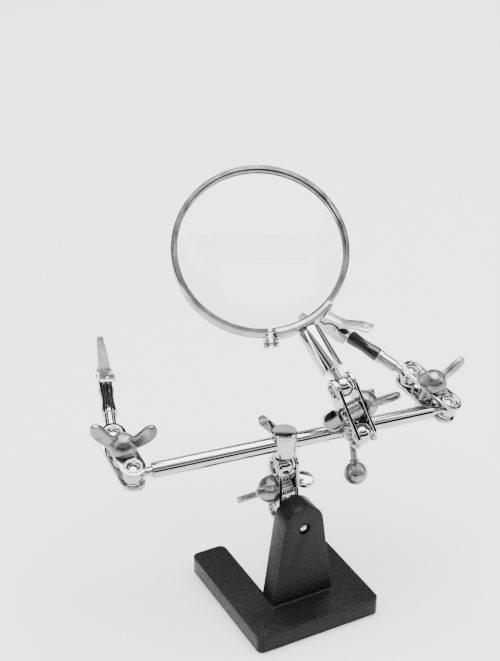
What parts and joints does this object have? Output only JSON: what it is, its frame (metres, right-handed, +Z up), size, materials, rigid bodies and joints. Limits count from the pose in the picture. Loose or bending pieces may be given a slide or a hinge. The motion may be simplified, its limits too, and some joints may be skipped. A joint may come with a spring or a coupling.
{
  "type": "helping hands magnifier",
  "caption": "Bench stand with a cast base, a cross rod on ball-jointed clamps, a round magnifying lens and a sprung clip on an arm at each end.",
  "frame": {"origin": "underside of the base plate, below the middle of the upright", "axes": "+Z up, +X along the cross rod towards the magnifier's end, +Y towards the back, where the base slot opens"},
  "size_m": [0.1375, 0.1027, 0.1415],
  "materials": {
    "black_paint": "black hammered paint on a casting",
    "chrome": "bright plated steel",
    "dull_cast": "dull nickel plate on a casting",
    "clip_steel": "plated sheet steel",
    "spring_steel": "bright wire",
    "black_gloss": "gloss",
    "glass": "polished clear lens"
  },
  "bodies": {
    "base": {"base_casting": "black_paint"},
    "base_stud": {"base_ball_stud": "chrome"},
    "lower_clamp": {"lower_plate_right": "chrome", "lower_plate_left": "chrome", "lower_clamp_bolt": "chrome", "lower_clamp_spring": "spring_steel"},
    "lower_wing_nut": {"lower_wing_nut": "dull_cast"},
    "cross_stud": {"cross_ball_stud": "chrome"},
    "cross_block": {"cross_block": "chrome"},
    "cross_lock": {"cross_lock_screw": "chrome"},
    "cross_rod": {"cross_rod": "chrome"},
    "slider": {"slider_block": "chrome"},
    "slider_lock": {"slider_lock_knob": "dull_cast"},
    "slider_stud": {"slider_ball_stud": "chrome"},
    "lens_clamp": {"lens_plate_front": "chrome", "lens_plate_back": "chrome", "lens_clamp_bolt": "chrome", "lens_clamp_spring": "spring_steel"},
    "lens_wing_nut": {"lens_wing_nut": "dull_cast"},
    "handle_stud": {"handle_ball_stud": "chrome"},
    "magnifier": {"handle_tube": "chrome", "rim_saddle": "chrome", "lens_rim": "chrome", "rim_screw": "chrome", "lens": "glass"},
    "left_stud": {"left_rod_stud": "chrome"},
    "left_clamp": {"left_plate_lower": "chrome", "left_plate_upper": "chrome", "left_clamp_bolt": "chrome", "left_clamp_spring": "spring_steel"},
    "left_wing_nut": {"left_wing_nut": "dull_cast"},
    "left_clip_rod": {"left_clip_rod": "chrome"},
    "left_clip": {"left_sleeve": "black_gloss", "left_clip_body": "clip_steel", "left_clip_pin": "spring_steel", "left_clip_spring": "spring_steel"},
    "left_jaw": {"left_clip_jaw": "clip_steel"},
    "right_stud": {"right_rod_stud": "chrome"},
    "right_clamp": {"right_plate_lower": "chrome", "right_plate_upper": "chrome", "right_clamp_bolt": "chrome", "right_clamp_spring": "spring_steel"},
    "right_wing_nut": {"right_wing_nut": "dull_cast"},
    "right_clip_rod": {"right_clip_rod": "chrome"},
    "right_clip": {"right_sleeve": "black_gloss", "right_clip_body": "clip_steel", "right_clip_pin": "spring_steel", "right_clip_spring": "spring_steel"},
    "right_jaw": {"right_clip_jaw": "clip_steel"}
  },
  "joints": [
    {"name": "base_stud_roll", "type": "hinge", "parent": "base", "child": "base_stud", "pos_m": [0, 0.0111, 0.0366], "axis": [0, 1, 0], "range_deg": [-25, 25]},
    {"name": "lower_clamp_tilt", "type": "hinge", "parent": "base_stud", "child": "lower_clamp", "pos_m": [0, 0.0111, 0.0366], "axis": [1, 0, 0], "range_deg": [-40, 8]},
    {"name": "lower_wing_nut_turn", "type": "hinge", "parent": "lower_clamp", "child": "lower_wing_nut", "pos_m": [0, 0.0111, 0.0455], "axis": [-1, 0, 0], "range_deg": [-180, 180]},
    {"name": "cross_stud_tilt", "type": "hinge", "parent": "lower_clamp", "child": "cross_stud", "pos_m": [0, 0.0111, 0.0544], "axis": [1, 0, 0], "range_deg": [-25, 25]},
    {"name": "cross_block_turn", "type": "hinge", "parent": "cross_stud", "child": "cross_block", "pos_m": [0, 0.0111, 0.0544], "axis": [0, 0, 1], "range_deg": [-40, 40]},
    {"name": "cross_lock_turn", "type": "hinge", "parent": "cross_block", "child": "cross_lock", "pos_m": [0, 0.0111, 0.0635], "axis": [0.1149, 0.9934, 0], "range_deg": [-60, 60]},
    {"name": "rod_slide", "type": "slide", "parent": "cross_block", "child": "cross_rod", "axis": [0.9934, -0.1149, 0], "range_m": [-0.01, 0.012]},
    {"name": "slider_slide", "type": "slide", "parent": "cross_rod", "child": "slider", "axis": [0.9934, -0.1149, 0], "range_m": [-0.004, 0.014]},
    {"name": "slider_lock_turn", "type": "hinge", "parent": "slider", "child": "slider_lock", "pos_m": [0.02503, 0.0082, 0.0635], "axis": [-0.0382, -0.33, -0.9432], "range_deg": [-180, 180]},
    {"name": "slider_stud_twist", "type": "hinge", "parent": "slider", "child": "slider_stud", "pos_m": [0.02405, -0.00032, 0.06652], "axis": [-0.1084, -0.937, 0.3322], "range_deg": [-12, 12]},
    {"name": "lens_clamp_tilt", "type": "hinge", "parent": "slider_stud", "child": "lens_clamp", "pos_m": [0.02405, -0.00032, 0.06652], "axis": [0.9801, 0.0621, 0.1886], "range_deg": [0, 40]},
    {"name": "lens_wing_nut_turn", "type": "hinge", "parent": "lens_clamp", "child": "lens_wing_nut", "pos_m": [0.02229, 0.00349, 0.07437], "axis": [0.9801, 0.0621, 0.1886], "range_deg": [-5, 100]},
    {"name": "handle_tilt", "type": "hinge", "parent": "lens_clamp", "child": "handle_stud", "pos_m": [0.02054, 0.00729, 0.08222], "axis": [0.9801, 0.0621, 0.1886], "range_deg": [-12, 60]},
    {"name": "handle_twist", "type": "hinge", "parent": "handle_stud", "child": "magnifier", "pos_m": [0.02054, 0.00729, 0.08222], "axis": [-0.1687, 0.7611, 0.6264], "range_deg": [-40, 40]},
    {"name": "left_stud_roll", "type": "hinge", "parent": "cross_rod", "child": "left_stud", "pos_m": [-0.05404, 0.01735, 0.0635], "axis": [0.9934, -0.1149, 0], "range_deg": [-30, 40]},
    {"name": "left_clamp_swing", "type": "hinge", "parent": "left_stud", "child": "left_clamp", "pos_m": [-0.05404, 0.01735, 0.0635], "axis": [-0.0319, -0.1918, 0.9809], "range_deg": [-20, 50]},
    {"name": "left_wing_nut_turn", "type": "hinge", "parent": "left_clamp", "child": "left_wing_nut", "pos_m": [-0.05386, 0.02608, 0.06521], "axis": [-0.0319, -0.1918, 0.9809], "range_deg": [-180, 180]},
    {"name": "left_clip_swing", "type": "hinge", "parent": "left_clamp", "child": "left_clip_rod", "pos_m": [-0.05367, 0.03482, 0.06693], "axis": [-0.0319, -0.1918, 0.9809], "range_deg": [-60, 60]},
    {"name": "left_clip_twist", "type": "hinge", "parent": "left_clip_rod", "child": "left_clip", "pos_m": [-0.05367, 0.03482, 0.06693], "axis": [0.3102, 0.9311, 0.1922], "range_deg": [-90, 90]},
    {"name": "left_jaw_open", "type": "hinge", "parent": "left_clip", "child": "left_jaw", "pos_m": [-0.04346, 0.06543, 0.07386], "axis": [0.9501, -0.3104, -0.0298], "range_deg": [0, 16], "stiffness_Nm_per_rad": 0.08, "springref_deg": -28.65},
    {"name": "right_stud_roll", "type": "hinge", "parent": "cross_rod", "child": "right_stud", "pos_m": [0.06248, 0.00387, 0.0635], "axis": [0.9934, -0.1149, 0], "range_deg": [-30, 18]},
    {"name": "right_clamp_swing", "type": "hinge", "parent": "right_stud", "child": "right_clamp", "pos_m": [0.06248, 0.00387, 0.0635], "axis": [0.1367, -0.3453, 0.9285], "range_deg": [-50, 0]},
    {"name": "right_wing_nut_turn", "type": "hinge", "parent": "right_clamp", "child": "right_wing_nut", "pos_m": [0.05944, 0.01155, 0.06681], "axis": [0.1367, -0.3453, 0.9285], "range_deg": [-180, 180]},
    {"name": "right_clip_swing", "type": "hinge", "parent": "right_clamp", "child": "right_clip_rod", "pos_m": [0.0564, 0.01924, 0.07011], "axis": [0.1367, -0.3453, 0.9285], "range_deg": [-60, 50]},
    {"name": "right_clip_twist", "type": "hinge", "parent": "right_clip_rod", "child": "right_clip", "pos_m": [0.0564, 0.01924, 0.07011], "axis": [-0.501, 0.7845, 0.3655], "range_deg": [-90, 90]},
    {"name": "right_jaw_open", "type": "hinge", "parent": "right_clip", "child": "right_jaw", "pos_m": [0.03995, 0.04492, 0.08273], "axis": [0.8546, 0.5152, 0.0658], "range_deg": [0, 16], "stiffness_Nm_per_rad": 0.08, "springref_deg": -28.65}
  ]
}
